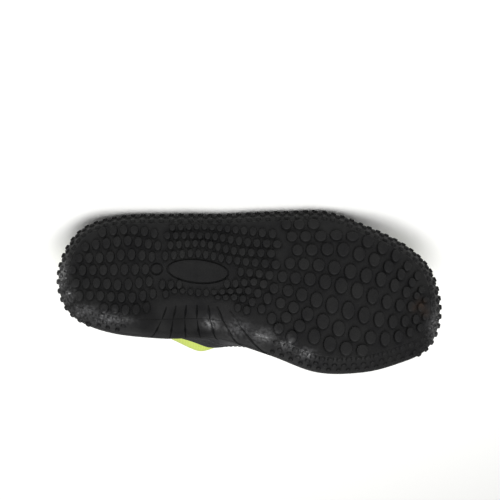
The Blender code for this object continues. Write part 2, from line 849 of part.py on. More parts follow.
def insole():
    """Foam sheet on the sole's floor, inside the upper."""
    mesh = bmesh.new()
    inset = lip_inset() + WALL_TAPER + UPPER_WALL + 2 * GAP
    low = add_ring(mesh, [floor_point(a, inset, GAP) for a in rib_angles()])
    high = add_ring(mesh, [floor_point(a, inset, GAP + INSOLE_THICKNESS) for a in rib_angles()])
    join_walls(mesh, low, high)
    cap_ring(mesh, low)
    cap_ring(mesh, high)
    return finish_mesh("insole", mesh)


# Materials

Finish = namedtuple("Finish", "colour roughness")
FINISHES = {
    "outsole": Finish((0.020, 0.020, 0.021), 0.62),
    "upper": Finish((0.62, 0.72, 0.16), 0.85),
    "side_overlay": Finish((0.018, 0.018, 0.020), 0.55),
    "collar_binding": Finish((0.022, 0.022, 0.024), 0.80),
    "insole": Finish((0.030, 0.030, 0.032), 0.90),
}


def paint(obj):
    finish = FINISHES[obj.name]
    material = bpy.data.materials.new(obj.name)
    material.use_nodes = True
    shader = material.node_tree.nodes["Principled BSDF"]
    shader.inputs["Base Color"].default_value = (*finish.colour, 1)
    shader.inputs["Roughness"].default_value = finish.roughness
    shader.inputs["Metallic"].default_value = 0
    obj.data.materials.clear()
    obj.data.materials.append(material)
    if obj.name != "outsole":
        obj.data.shade_smooth()


# Laying the shoe down


def centre_of_mass(weights):
    """Centre of mass of solids, from {object: density}."""
    total, moment = 0.0, Vector()
    for obj, density in weights.items():
        obj.data.calc_loop_triangles()
        points = [v.co for v in obj.data.vertices]
        for triangle in obj.data.loop_triangles:
            a, b, c = (points[i] for i in triangle.vertices)
            part = density * a.dot(b.cross(c)) / 6
            total += part
            moment += part * (a + b + c) / 4
    return moment / total


def resting_normal(objects, centre):
    """Outward normal of the flat that the shoe lies on: the lowest stable one on its outer side."""
    hull = bmesh.new()
    for obj in objects:
        for vertex in obj.data.vertices:
            hull.verts.new(vertex.co)
    bmesh.ops.convex_hull(hull, input=hull.verts)
    best, normal = math.inf, None
    for face in hull.faces:
        corners = [v.co for v in face.verts]
        facing = face.normal if face.normal.dot(corners[0] - centre) > 0 else -face.normal
        height = facing.dot(corners[0] - centre)
        foot = centre + facing * height
        turns = [
            (corners[(k + 1) % len(corners)] - corners[k]).cross(foot - corners[k]).dot(facing)
            for k in range(len(corners))
        ]
        under = all(turn >= 0 for turn in turns) or all(turn <= 0 for turn in turns)
        if under and facing.y < -0.7 and height < best:
            best, normal = height, facing.copy()
    hull.free()
    return normal


def lay_down(objects, weights):
    """Turns the shoe onto its outer side, sole to -Y, and sets it on the floor over the origin."""
    down = resting_normal(objects, centre_of_mass(weights))
    drop = down.rotation_difference(Vector((0, 0, -1))).to_matrix()
    toe = drop @ Vector((1, 0, 0))
    turn = Matrix.Rotation(math.pi - math.atan2(toe.y, toe.x), 3, "Z") @ drop
    points = [turn @ vertex.co for obj in objects for vertex in obj.data.vertices]
    low = Vector([min(p[i] for p in points) for i in range(3)])
    high = Vector([max(p[i] for p in points) for i in range(3)])
    shift = -Vector(((low.x + high.x) / 2, (low.y + high.y) / 2, low.z))
    pose = bpy.data.objects.new("lying_pose", None)
    bpy.context.scene.collection.objects.link(pose)
    pose.matrix_world = Matrix.Translation(shift) @ turn.to_4x4()
    for obj in objects:
        obj.parent = pose


def main():
    clear_scene()
    rows, normals = upper_grid()
    sole, sheet = outsole(), insole()
    cloth = [upper(rows, normals), overlay(rows, normals), collar_binding(rows, normals)]
    pieces = [sole, sheet, *cloth]
    for piece in pieces:
        paint(piece)
    weights = {sole: RUBBER_DENSITY, sheet: FOAM_DENSITY}
    weights.update({piece: TEXTILE_DENSITY for piece in cloth})
    lay_down(pieces, weights)


main()
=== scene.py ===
import math

import bmesh
import bpy
from mathutils import Matrix, Vector
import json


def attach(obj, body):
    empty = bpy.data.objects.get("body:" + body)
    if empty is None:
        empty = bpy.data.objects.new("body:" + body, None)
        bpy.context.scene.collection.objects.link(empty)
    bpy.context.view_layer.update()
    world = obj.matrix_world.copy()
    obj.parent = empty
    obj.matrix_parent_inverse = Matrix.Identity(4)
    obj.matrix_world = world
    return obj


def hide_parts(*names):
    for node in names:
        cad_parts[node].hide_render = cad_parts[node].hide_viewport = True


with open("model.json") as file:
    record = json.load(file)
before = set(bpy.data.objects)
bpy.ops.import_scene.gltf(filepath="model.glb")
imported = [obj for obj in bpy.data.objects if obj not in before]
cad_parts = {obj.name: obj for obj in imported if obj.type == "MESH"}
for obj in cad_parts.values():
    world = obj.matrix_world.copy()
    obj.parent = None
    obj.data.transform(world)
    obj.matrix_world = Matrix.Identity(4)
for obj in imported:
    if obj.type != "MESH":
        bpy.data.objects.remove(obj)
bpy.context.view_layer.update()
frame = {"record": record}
mm = 0.001

# Shapes are laid out on the last: x from heel to toe, y to the inner side, z up from the ground.
# lying turns them into the row's frame, where the shoe lies on its outer side.

lastPlace = {
    "heelLug": Vector((49.21, -0.07, 0)) * mm,  # where the two tread mounts stand on the last
    "ballLug": Vector((163.06, 5.95, 0)) * mm,
}


def lyingPose():
    mounts = {mount["name"]: mount for mount in frame["record"]["mounts"]}
    heel = Vector(mounts["heel_tread"]["pos_m"])
    ball = Vector(mounts["forefoot_tread"]["pos_m"])
    up = -Vector(mounts["heel_tread"]["axis"]).normalized()
    along = (ball - heel).normalized()
    across = up.cross(along)
    turn = lastPlace["ballLug"] - lastPlace["heelLug"]
    angle = math.atan2(turn.y, turn.x)
    toe = along * math.cos(angle) - across * math.sin(angle)
    turned = Matrix((toe, up.cross(toe), up)).transposed()
    return Matrix.Translation(heel - turned @ lastPlace["heelLug"]) @ turned.to_4x4()


lying = lyingPose()
unlying = lying.inverted()


def smoothLine(rows, period=None):
    # a smooth line through (place, value) rows, level at its ends or closed after a period
    if period:
        last = rows[-1]
        rows = [(last[0] - period, last[1]), *rows, *[(row[0] + period, row[1]) for row in rows[:2]]]
    places = [row[0] for row in rows]
    values = [row[1] for row in rows]
    slopes = [0.0] * len(rows)
    for i in range(1, len(rows) - 1):
        before, after = places[i] - places[i - 1], places[i + 1] - places[i]
        rise = (values[i] - values[i - 1]) / before * after + (values[i + 1] - values[i]) / after * before
        slopes[i] = rise / (before + after)

    def valueAt(place):
        if period:
            place %= period
        i = max(k for k in range(len(places) - 1) if k == 0 or places[k] <= place)
        width = places[i + 1] - places[i]
        t = min(max((place - places[i]) / width, 0.0), 1.0)
        low = (1 + 2 * t) * (1 - t) ** 2 * values[i] + t * (1 - t) ** 2 * width * slopes[i]
        return low + t * t * (3 - 2 * t) * values[i + 1] + t * t * (t - 1) * width * slopes[i + 1]

    return valueAt


# Sole: sizes and outline, as in the frame

sole = {
    "length": 272 * mm,
    "ballWidth": 110 * mm,
    "sideHeight": 18 * mm,
    "edgeBand": 9 * mm,
    "lipWidth": 3 * mm,
    "lipStart": 0.13,
    "cupTaper": 2.5 * mm,
    "floor": 6 * mm,
    "lugHeight": 2.6 * mm,
    "toeSpring": 12 * mm,
    "heelRise": 2.5 * mm,
    "waistRise": 1.2 * mm,
    "archRise": 5 * mm,
    "archMiddle": 0.368,
    "archReach": 0.150,
    "archDepth": 0.19,
    "archBevel": 0.30,
    "flatShare": 0.97,
    "segments": 264,
    "outline": [  # along, inner and outer half width as shares of the ball width
        (0.050, 0.290, 0.276),
        (0.140, 0.374, 0.373),
        (0.280, 0.389, 0.415),
        (0.420, 0.366, 0.447),
        (0.560, 0.442, 0.488),
        (0.680, 0.526, 0.513),
        (0.800, 0.502, 0.437),
        (0.900, 0.412, 0.346),
        (0.965, 0.313, 0.222),
    ],
    "heelCentre": 0.020,
    "toeCentre": 0.065,
    "sideLevels": [(0.00, 1.15), (0.20, 1.08), (0.45, 1.05), (0.70, 0.95), (1.00, 1.15)],
    "side": [  # inset and height shares from the tread's edge to the lip, with a step and an edge line
        (1.06, -0.015),
        (1.02, 0.00),
        (0.99, 0.045),
        (0.95, 0.055),
        (0.80, 0.10),
        (0.62, 0.17),
        (0.45, 0.265),
        (0.27, 0.40),
        (0.14, 0.525),
        (0.095, 0.585),
        (0.15, 0.61),
        (0.055, 0.635),
        (0.00, 0.75),
        (0.00, 0.85),
        (0.04, 0.945),
        (0.09, 0.985),
        (0.16, 1.00),
    ],
}


def angleAt(along):
    return math.acos(1 - 2 * along)


def outlineLine():
    rows = [(0.0, sole["heelCentre"])]
    rows += [(angleAt(along), inner) for along, inner, outer in sole["outline"]]
    rows += [(math.pi, sole["toeCentre"])]
    rows += [(2 * math.pi - angleAt(along), -outer) for along, inner, outer in reversed(sole["outline"])]
    return smoothLine(rows, 2 * math.pi)


acrossAt = outlineLine()
sideLevelAt = smoothLine(sole["sideLevels"])


def outlineAt(angle):
    return Vector((sole["length"] * (1 - math.cos(angle)) / 2, sole["ballWidth"] * acrossAt(angle)))


def inwardAt(angle):
    tangent = (outlineAt(angle + 0.01) - outlineAt(angle - 0.01)).normalized()
    return Vector((tangent.y, -tangent.x))


def archBump(along):
    share = (along - sole["archMiddle"]) / sole["archReach"]
    return (1 - share**4) ** 2 if abs(share) < 1 else 0.0


def archRiseAt(angle, along):
    return sole["archRise"] * archBump(along) if math.sin(angle) > 0 else 0.0


def treadLevel(along):
    heel = max(0.0, (0.10 - along) / 0.10) ** 2 * sole["heelRise"]
    toe = max(0.0, (along - 0.70) / 0.30) ** 2 * sole["toeSpring"]
    waist = math.sin((along - 0.30) / 0.22 * math.pi) ** 2 * sole["waistRise"] if 0.30 < along < 0.52 else 0
    return sole["lugHeight"] + heel + toe + waist


def sidePoint(angle, inset, height):
    plan = outlineAt(angle) + inwardAt(angle) * inset
    along = plan.x / sole["length"]
    arch = archRiseAt(angle, along)
    side = sole["sideHeight"] * sideLevelAt(along) - arch
    return Vector((plan.x, plan.y, treadLevel(along) + arch + side * height))


def bevelPoint(angle, inset, height):
    # a side point by its share of the edge band, which starts further in along the arch
    wide = 0.0
    if math.sin(angle) > 0 and inset > 0.5:
        wide = sole["archBevel"] * archBump((1 - math.cos(angle)) / 2)
    return sidePoint(angle, inset * sole["edgeBand"] * (1 + wide), height)


def floorPoint(angle, inset, lift):
    plan = outlineAt(angle) + inwardAt(angle) * inset
    along = plan.x / sole["length"]
    return Vector((plan.x, plan.y, treadLevel(along) + archRiseAt(angle, along) + sole["floor"] + lift))


def lipInset():
    return sole["lipStart"] * sole["edgeBand"] + sole["lipWidth"]


def anglesRound(count):
    return [2 * math.pi * k / count for k in range(count)]


# Mesh helpers


def wrapGrid(mesh, rings, uvOf=None, materialOf=None):
    # a grid wrapped round: one row of verts for each ring, welded where its two ends meet
    count, rows = len(rings[0]), len(rings)
    made = bmesh.ops.create_grid(mesh, x_segments=count, y_segments=rows - 1, size=1)["verts"]
    for n, vert in enumerate(made):
        vert.co = rings[n // (count + 1)][n % (count + 1) % count]
    if uvOf:
        layer = mesh.loops.layers.uv.new("cloth")
        number = {vert: n for n, vert in enumerate(made)}
        for face in mesh.faces:
            for loop in face.loops:
                n = number[loop.vert]
                loop[layer].uv = uvOf(n % (count + 1), n // (count + 1))
            if materialOf:
                face.material_index = materialOf(min(number[vert] for vert in face.verts) // (count + 1))
    ends = [vert for n, vert in enumerate(made) if n % (count + 1) in (0, count)]
    bmesh.ops.remove_doubles(mesh, verts=ends, dist=0.01 * mm)


def newPiece(name, mesh, materials, sharp=40, turnOut=True):
    if turnOut:
        bmesh.ops.recalc_face_normals(mesh, faces=mesh.faces)
    data = bpy.data.meshes.new(name)
    mesh.to_mesh(data)
    mesh.free()
    data.transform(lying)
    for material in materials:
        data.materials.append(material)
    data.shade_smooth()
    data.set_sharp_from_angle(angle=math.radians(sharp))
    piece = bpy.data.objects.new(name, data)
    bpy.context.scene.collection.objects.link(piece)
    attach(piece, "root")
    return piece


# Materials


def hexColour(code):
    parts = [int(code[k : k + 2], 16) / 255 for k in (1, 3, 5)]
    return (*[part / 12.92 if part <= 0.04045 else ((part + 0.055) / 1.055) ** 2.4 for part in parts], 1)


def addNode(tree, kind, links=None, values=None, **settings):
    node = tree.nodes.new("ShaderNode" + kind)
    for key, value in settings.items():
        setattr(node, key, value)
    for key, value in (values or {}).items():
        node.inputs[key].default_value = value
    for key, source in (links or {}).items():
        tree.links.new(source, node.inputs[key])
    return node


def setRamp(node, *stops):
    for element, (place, code) in zip(node.color_ramp.elements, stops):
        element.position = place
        element.color = hexColour(code)


def waveScale(lengthMm):
    return 0.314 / (lengthMm * mm)  # a wave texture's bands are 0.314 apart at scale 1


def newMaterial(name):
    material = bpy.data.materials.new(name)
    material.use_nodes = True
    tree = material.node_tree
    return material, tree, tree.nodes["Principled BSDF"]


def mouldedRubber(name, dark, light, roughness, gritMm, gloss):
    # injection-moulded rubber: even black with a faint bloom, a fine spark-eroded grit and a soft sheen;
    # where polished the colour pales towards grey, partly wear and partly painted highlight
    material, tree, shader = newMaterial(name)
    place = addNode(tree, "TexCoord").outputs["Object"]
    bloom = addNode(tree, "TexNoise", {"Vector": place}, {"Scale": 1 / (14 * mm), "Detail": 5.0})
    grit = addNode(tree, "TexNoise", {"Vector": place}, {"Scale": 1 / (gritMm * mm), "Detail": 2.0})
    colour = addNode(tree, "ValToRGB", {"Fac": bloom.outputs["Fac"]})
    setRamp(colour, (0.35, dark), (0.68, light))
    rust = addNode(
        tree,
        "Math",
        {0: addNode(tree, "Attribute", attribute_name="rusty").outputs["Fac"], 1: bloom.outputs["Fac"]},
        operation="MULTIPLY",
    )
    stained = addNode(
        tree,
        "Mix",
        {0: rust.outputs["Value"], 6: colour.outputs["Color"]},
        {7: hexColour("#35251a")},
        data_type="RGBA",
    )
    polishAndHighlight = addNode(tree, "Attribute", attribute_name="polish_and_highlight").outputs["Fac"]
    crinkle = addNode(tree, "TexNoise", {"Vector": place}, {"Scale": 1 / (2.2 * mm), "Detail": 3.0})
    patchy = addNode(
        tree,
        "MapRange",
        {"Value": crinkle.outputs["Fac"]},
        {"From Min": 0.36, "From Max": 0.62, "To Min": 0.1},
    )
    rubbedAndHighlight = addNode(tree, "Math", {0: polishAndHighlight, 1: patchy.outputs["Result"]}, operation="MULTIPLY")
    # the paling towards light grey (#77777a) where polished is partly rubbed wear and partly painted
    # highlight on the bevel
    paleWearAndPaintedHighlight = addNode(tree, "Math", {0: rubbedAndHighlight.outputs["Value"]}, {1: 0.2}, operation="MULTIPLY")
    scuffAndPaintedHighlight = addNode(
        tree,
        "Mix",
        {0: paleWearAndPaintedHighlight.outputs["Value"], 6: stained.outputs[2]},
        {7: hexColour("#77777a")},
        data_type="RGBA",
    )
    sheen = addNode(
        tree,
        "MapRange",
        {"Value": rubbedAndHighlight.outputs["Value"]},
        {"To Min": roughness, "To Max": roughness - 0.36},
    )
    shine = addNode(
        tree,
        "MapRange",
        {"Value": rubbedAndHighlight.outputs["Value"]},
        {"To Min": gloss, "To Max": gloss + 0.85},
    )
    dull = addNode(tree, "Attribute", attribute_name="dull").outputs["Fac"]
    level = addNode(
        tree, "Math", {0: dull, 2: shine.outputs["Result"]}, {1: -0.8 * gloss}, operation="MULTIPLY_ADD"
    )
    fine = addNode(tree, "Bump", {"Height": grit.outputs["Fac"]}, {"Strength": 0.35, "Distance": 0.15 * mm})
    bump = addNode(
        tree,
        "Bump",
        {"Height": crinkle.outputs["Fac"], "Normal": fine.outputs["Normal"]},
        {"Strength": 0.4, "Distance": 0.5 * mm},
    )
    tree.links.new(scuffAndPaintedHighlight.outputs[2], shader.inputs["Base Color"])
    tree.links.new(sheen.outputs["Result"], shader.inputs["Roughness"])
    tree.links.new(level.outputs["Value"], shader.inputs["Specular IOR Level"])
    tree.links.new(bump.outputs["Normal"], shader.inputs["Normal"])
    return material


def knitFabric(name, dark, light, loopMm, sheen):
    # stretch jersey: rows of fine loops that catch the light, slightly uneven in colour
    material, tree, shader = newMaterial(name)
    place = addNode(tree, "UVMap", uv_map="cloth").outputs["UV"]
    bands = {"Scale": waveScale(loopMm), "Distortion": 0.6, "Detail": 1.0, "Detail Scale": 2.0}
    wales = addNode(tree, "TexWave", {"Vector": place}, bands, wave_type="BANDS", bands_direction="X")
    courses = addNode(tree, "TexWave", {"Vector": place}, bands, wave_type="BANDS", bands_direction="Y")
    loops = addNode(
        tree, "Math", {0: wales.outputs["Fac"], 1: courses.outputs["Fac"]}, operation="MULTIPLY"
    )
    wear = addNode(tree, "TexNoise", {"Vector": place}, {"Scale": 1 / (9 * mm), "Detail": 4.0})
    shade = addNode(
        tree, "Math", {0: loops.outputs["Value"], 1: wear.outputs["Fac"]}, operation="ADD"
    )
    colour = addNode(tree, "ValToRGB", {"Fac": shade.outputs["Value"]})
    setRamp(colour, (0.25, dark), (1.05, light))
    bump = addNode(
        tree, "Bump", {"Height": loops.outputs["Value"]}, {"Strength": 0.22, "Distance": 0.2 * mm}
    )
    shader.inputs["Roughness"].default_value = 0.82
    shader.inputs["Sheen Weight"].default_value = sheen
    shader.inputs["Sheen Roughness"].default_value = 0.45
    tree.links.new(colour.outputs["Color"], shader.inputs["Base Color"])
    tree.links.new(bump.outputs["Normal"], shader.inputs["Normal"])
    return material


soleRubber = mouldedRubber("moulded_black_rubber", "#101011", "#181818", 0.60, 0.6, 0.15)
randFilm = mouldedRubber("rand_film", "#121214", "#1a1a1d", 0.50, 0.9, 0.30)
limeJersey = knitFabric("lime_stretch_jersey", "#a7b54d", "#b6c45e", 1.5, 0.10)
darkLining = knitFabric("grey_tricot_lining", "#2b2c2e", "#3b3c3f", 1.4, 0.25)
collarTape = knitFabric("collar_elastic_tape", "#121214", "#222226", 1.3, 0.30)
insoleCloth = knitFabric("insole_topcloth", "#1b1b1e", "#2b2b2f", 1.6, 0.20)
seamThread = knitFabric("seam_thread", "#1d1d20", "#333338", 0.8, 0.20)

# Camera: the photograph's angle to the sole, looking down at the shoe as it lies

cameraSetup = {
    "distance": 750 * mm,
    "tilt": math.radians(15),  # from the sole's own normal towards the inner side
    "roll": math.radians(4.6),
    "pixel": 0.696 * mm,
    "middle": Vector((136, 1, 8)) * mm,  # the point of the last that shows at the pixel below
    "middlePixel": (251.2, 283.5),
}


def setCamera():
    tilt, roll = cameraSetup["tilt"], cameraSetup["roll"]
    right, down = Vector((1, 0, 0)), Vector((0, math.cos(tilt), math.sin(tilt)))
    forward = right.cross(down)
    right, down = (
        right * math.cos(roll) - down * math.sin(roll),
        down * math.cos(roll) + right * math.sin(roll),
    )
    pixelX, pixelY = cameraSetup["middlePixel"]
    aim = cameraSetup["middle"] - (right * (pixelX - 250) + down * (pixelY - 250)) * cameraSetup["pixel"]
    turned = Matrix((right, -down, -forward)).transposed().to_4x4()
    data = bpy.data.cameras.new("camera")
    camera = bpy.data.objects.new("camera", data)
    bpy.context.scene.collection.objects.link(camera)
    camera.matrix_world = lying @ Matrix.Translation(aim - forward * cameraSetup["distance"]) @ turned
    data.sensor_width = 36
    data.lens = 36 * cameraSetup["distance"] / (500 * cameraSetup["pixel"])
    data.clip_start = 0.01
    bpy.context.scene.camera = camera


setCamera()

# Stage: pale floor and soft studio light from above, which is the shoe's inner side

stage = {
    "floor": "#fbfbf9",
    "skyStrength": 0.40,
    "lamps": [  # name, place, size, watts
        ("top_softbox", (0.0, -0.54, 1.02), 0.7, 13),
        ("front_softbox", (-0.80, -0.70, 0.60), 0.4, 1.0),
        ("back_softbox", (0.35, 0.95, 0.75), 0.7, 4),
    ],
}


def setStage():
    mesh = bmesh.new()
    bmesh.ops.create_grid(mesh, x_segments=1, y_segments=1, size=3)
    data = bpy.data.meshes.new("studio_floor")
    mesh.to_mesh(data)
    mesh.free()
    floor = bpy.data.objects.new("studio_floor", data)
    bpy.context.scene.collection.objects.link(floor)
    material, tree, shader = newMaterial("pale_floor")
    shader.inputs["Base Color"].default_value = hexColour(stage["floor"])
    shader.inputs["Roughness"].default_value = 0.9
    data.materials.append(material)
    world = bpy.data.worlds.new("studio")
    world.use_nodes = True
    world.node_tree.nodes["Background"].inputs["Color"].default_value = hexColour("#ffffff")
    world.node_tree.nodes["Background"].inputs["Strength"].default_value = stage["skyStrength"]
    bpy.context.scene.world = world
    for name, place, size, watts in stage["lamps"]:
        lamp = bpy.data.lights.new(name, "AREA")
        lamp.size, lamp.energy = size, watts
        holder = bpy.data.objects.new(name, lamp)
        holder.location = place
        holder.rotation_euler = (Vector((0, 0, 0.05)) - Vector(place)).to_track_quat("-Z", "Y").to_euler()
        bpy.context.scene.collection.objects.link(holder)
    bpy.context.scene.view_settings.view_transform = "Standard"


setStage()
print("camera and stage set")

# Outsole: the moulded cup, then its lugs, nubs and grooves

ribGrooves = {
    "width": 1.5 * mm,
    "depth": 0.9 * mm,
    "reach": 0.72,
    "course": [(1.0, 0.0), (0.62, 0.17), (0.27, 0.40), (0.04, 0.66), (0.0, 0.80)],  # inset and height
    "lines": [  # where each starts at the tread and ends at the lip, along the sole, and its strength
        (0.293, 0.250, 0.55),
        (0.318, 0.301, 0.60),
        (0.344, 0.345, 0.60),
        (0.370, 0.384, 0.60),
        (0.396, 0.428, 0.75),
        (0.416, 0.492, 1.00),
        (0.447, 0.565, 1.10),
    ],
}
plates = {
    "ovalLength": 41.0 * mm,
    "ovalWidth": 15.4 * mm,
    "ovalAlong": 0.362,
    "ovalAcross": -0.033,
    "discWidth": 6.6 * mm,
    "discAlong": 0.257,
    "discAcross": -0.024,
    "groove": 1.4 * mm,
}


def treadShare(along):
    return 1 - sole["archDepth"] * archBump(along)


def treadEdgePoint(angle):
    inner = sidePoint(angle, sole["edgeBand"], 0)
    outer = sidePoint(2 * math.pi - angle, sole["edgeBand"], 0)
    point = outer.lerp(inner, sole["flatShare"] * treadShare((inner.x + outer.x) / 2 / sole["length"]))
    point.z = treadLevel(point.x / sole["length"])
    return point


def stripAcross(mesh, ring):
    # faces from one side of a ring to the other
    for k in range(len(ring) // 2):
        corners = (ring[k], ring[k + 1], ring[-k - 1], ring[-k] if k else ring[0])
        mesh.faces.new(list(dict.fromkeys(corners)))


def fillAcross(mesh, ring, levelAt):
    # strips across a ring, cut finer and set to the surface's level
    half = len(ring) // 2
    stripAcross(mesh, ring)
    mesh.edges.index_update()
    bars = [mesh.edges.get((ring[k], ring[-k])) for k in range(1, half)]
    cut = bmesh.ops.subdivide_edges(mesh, edges=bars, cuts=23, use_grid_fill=False)
    for vert in (part for part in cut["geom_inner"] if isinstance(part, bmesh.types.BMVert)):
        vert.co.z = levelAt(vert.co)


def panelLevel(point):
    # the tread, rising smoothly to the arch on the inner side
    along = point.x / sole["length"]
    bump = archBump(along)
    if bump <= 0:
        return treadLevel(along)
    sides = panelSides(along)
    if sides is None:
        return treadLevel(along)
    share = (point.y - sides[0]) / (sides[1] - sides[0])
    start = sole["flatShare"] * treadShare(along)
    rise = min(max((share - start) / (1 - start), 0.0), 1.0)
    return treadLevel(along) + sole["archRise"] * bump * rise


def panelEdge(angle):
    return outlineAt(angle) + inwardAt(angle) * sole["edgeBand"]


def panelSides(along):
    # outer and inner edge of the tread panel, or None past its ends
    place = along * sole["length"]
    edges = []
    for low, high in ((2 * math.pi, math.pi), (0.0, math.pi)):
        if panelEdge(low).x > place or panelEdge(high).x < place:
            return None
        for _ in range(20):
            middle = (low + high) / 2
            low, high = (middle, high) if panelEdge(middle).x < place else (low, middle)
        edges.append(panelEdge(low).y)
    return edges


wear = {  # along, across from the middle line, reach along and across in mm, strength
    # polished spots: glossier rubber, and a paler colour there that is partly wear and partly painted
    # highlight
    "polish_and_highlight": [
        (0.015, 6, 5, 9, 0.8),
        (0.040, 20, 5, 5, 0.8),
        (0.085, 30.3, 8, 3.4, 1.0),
        (0.150, 34.3, 11, 3.0, 1.0),
        (0.408, 31.0, 5, 3.0, 0.7),
        (0.475, 33.5, 7, 4.4, 1.0),
        (0.540, 37.5, 8, 3.8, 1.0),
        (0.600, 42.5, 5, 3.2, 0.9),
        (0.650, 47.5, 6, 3.2, 0.8),
        (0.978, 18, 5, 10, 0.6),
    ],
    "dull": [
        (0.25, 32, 12, 10, 1.0),
        (0.32, 30, 14, 12, 1.0),
        (0.38, 22, 12, 6, 0.8),
        (0.38, 38, 9, 5, 0.8),
    ],
    "rusty": [(0.938, 6, 3.5, 3.5, 0.9), (0.950, 11, 3, 3, 0.8), (0.918, 9, 2.5, 2.5, 0.6)],
}


def markWearAndHighlight(piece):
    # how polished, dull and rusty the rubber is at each vertex; the polished spots also lighten the colour as
    # painted highlight
    places = [unlying @ vert.co for vert in piece.data.vertices]
    for kind, spots in wear.items():
        values = []
        for place in places:
            amount = 0.0
            for along, across, reachAlong, reachAcross, strength in spots:
                away = math.hypot(
                    (place.x - along * sole["length"]) / (reachAlong * mm),
                    (place.y - across * mm) / (reachAcross * mm),
                )
                amount = max(amount, strength * math.exp(-away * away))
            values.append(amount)
        piece.data.attributes.new(kind, "FLOAT", "POINT").data.foreach_set("value", values)


def outsoleBody():
    mesh = bmesh.new()
    angles = anglesRound(sole["segments"])
    rings = [[bevelPoint(a, inset, height) for a in angles] for inset, height in sole["side"]]
    rings.append([sidePoint(a, lipInset(), 1.0) for a in angles])
    rings.append([floorPoint(a, lipInset() + sole["cupTaper"], 0.0) for a in angles])
    wrapGrid(mesh, rings)
    mesh.verts.ensure_lookup_table()
    fillAcross(mesh, nearestRing(mesh, rings[0]), panelLevel)
    stripAcross(mesh, nearestRing(mesh, rings[-1]))
    body = newPiece("outsole_body", mesh, [soleRubber], 35)
    cutPiece(body, soleCutters())
    body.data.shade_smooth()
    body.data.set_sharp_from_angle(angle=math.radians(35))
    markWearAndHighlight(body)
    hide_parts("outsole")


def nearestRing(mesh, points):
    # the verts that stand at a ring's points
    places = {tuple(round(c, 7) for c in vert.co): vert for vert in mesh.verts}
    return [places[tuple(round(c, 7) for c in Vector(point))] for point in points]


def grooveWedge(mesh, start, end, strength):
    rows = ribGrooves["course"]
    angles = [angleAt(start + (end - start) * k / len(rows)) for k in range(len(rows) + 1)]
    edge = bevelPoint(angles[0], 1.0, 0)
    path = [edge.lerp(treadEdgePoint(angles[0]), ribGrooves["reach"])]
    path += [bevelPoint(a, inset, height) for a, (inset, height) in zip(angles[1:], rows)]
    rings = []
    for k, point in enumerate(path):
        forward = (path[min(k + 1, len(path) - 1)] - path[max(k - 1, 0)]).normalized()
        side = forward.cross(Vector((0, 1, -1))).normalized()
        outward = side.cross(forward).normalized()
        depth = ribGrooves["depth"] * strength * (0.2 if k in (0, len(path) - 1) else 1.0)
        top = point + outward * ribGrooves["depth"]
        width = side * ribGrooves["width"] * (0.4 + 0.6 * strength)
        rings.append([point - outward * depth, top + width, top - width])
    wrapGrid(mesh, rings)
    for ring in (rings[0], rings[-1]):
        mesh.faces.new(nearestRing(mesh, ring))


def plateRing(mesh, length, width, along, across, sides):
    middle = Vector((along * sole["length"], across * sole["ballWidth"], 0))
    rings = []
    for extra, low in ((0, -1), (plates["groove"], -1), (plates["groove"], 1), (0, 1), (0, -1)):
        ring = []
        for turn in anglesRound(sides):
            x = middle.x + (length / 2 + extra) * math.cos(turn)
            y = middle.y + (width / 2 + extra) * math.sin(turn)
            ring.append(Vector((x, y, treadLevel(x / sole["length"]) + low * plates["groove"])))
        rings.append(ring)
    wrapGrid(mesh, rings)
    bmesh.ops.remove_doubles(mesh, verts=mesh.verts, dist=0.001 * mm)


def soleCutters():
    mesh = bmesh.new()
    plateRing(
        mesh, plates["ovalLength"], plates["ovalWidth"], plates["ovalAlong"], plates["ovalAcross"], 72
    )
    plateRing(mesh, plates["discWidth"], plates["discWidth"], plates["discAlong"], plates["discAcross"], 24)
    for start, end, strength in ribGrooves["lines"]:
        grooveWedge(mesh, start, end, strength)
    bmesh.ops.recalc_face_normals(mesh, faces=mesh.faces)
    data = bpy.data.meshes.new("sole_cutters")
    mesh.to_mesh(data)
    mesh.free()
    data.transform(lying)
    cutters = bpy.data.objects.new("sole_cutters", data)
    bpy.context.scene.collection.objects.link(cutters)
    return cutters


def cutPiece(piece, cutters):
    modifier = piece.modifiers.new("cut", "BOOLEAN")
    modifier.object = cutters
    modifier.use_self = True
    graph = bpy.context.evaluated_depsgraph_get()
    cut = bpy.data.meshes.new_from_object(piece.evaluated_get(graph))
    piece.modifiers.clear()
    piece.data = cut
    bpy.data.objects.remove(cutters)


outsoleBody()
print("outsole body made")

# Lugs of the tread and nubs of the side

